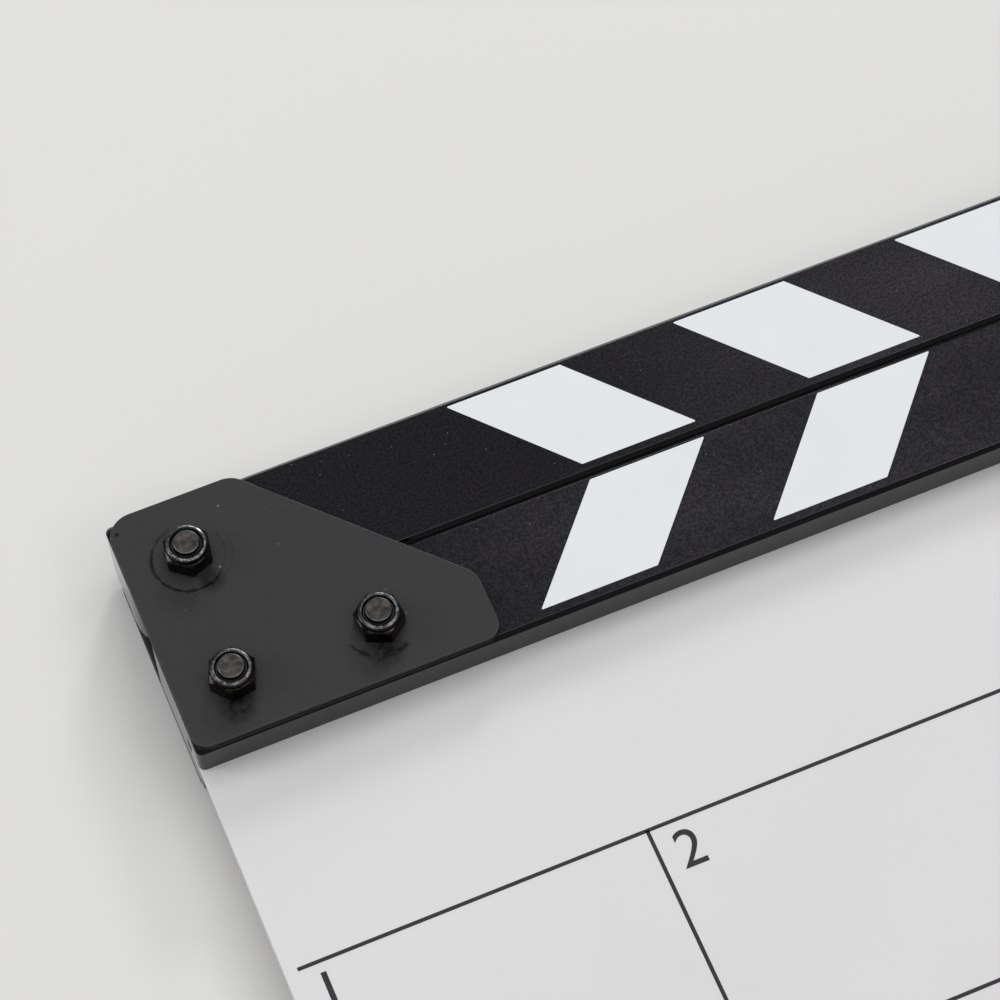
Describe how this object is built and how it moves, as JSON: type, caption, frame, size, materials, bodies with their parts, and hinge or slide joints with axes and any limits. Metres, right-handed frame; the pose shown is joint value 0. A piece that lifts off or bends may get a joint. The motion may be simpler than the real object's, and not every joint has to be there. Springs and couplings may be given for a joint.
{
  "type": "clapperboard",
  "caption": "Film clapperboard: a white writing board held in a slotted stick, with a striped clapper stick that swings open on a bolted corner hinge.",
  "frame": {"origin": "middle of the closed slate's box, on the back face of the rear hinge plate", "axes": "+X along the sticks away from the hinge, +Y from the board to the swinging stick, +Z out of the board's printed face"},
  "size_m": [0.3, 0.25, 0.0316],
  "materials": {
    "board_white": "milky acrylic with a satin face and printed rules",
    "stick_black": "polished sides, matt front with printed white stripes",
    "plate_black": "matt black powder coat",
    "fastener_black": "oiled black oxide on steel",
    "insert_black": "moulded nylon"
  },
  "bodies": {
    "slate": {"writing_board": "board_white", "lower_stick": "stick_black", "front_hinge_plate": "plate_black", "rear_hinge_plate": "plate_black", "pivot_bolt": "fastener_black", "left_fixing_bolt": "fastener_black", "right_fixing_bolt": "fastener_black", "pivot_nut": "fastener_black", "left_fixing_nut": "fastener_black", "right_fixing_nut": "fastener_black", "pivot_nut_insert": "insert_black", "left_nut_insert": "insert_black", "right_nut_insert": "insert_black"},
    "clapper": {"upper_stick": "stick_black"}
  },
  "joints": [
    {"name": "clapper_hinge", "type": "hinge", "parent": "slate", "child": "clapper", "pos_m": [-0.13505, 0.11005, 0.0125], "axis": [0, 0, 1], "range_deg": [0, 90]}
  ]
}
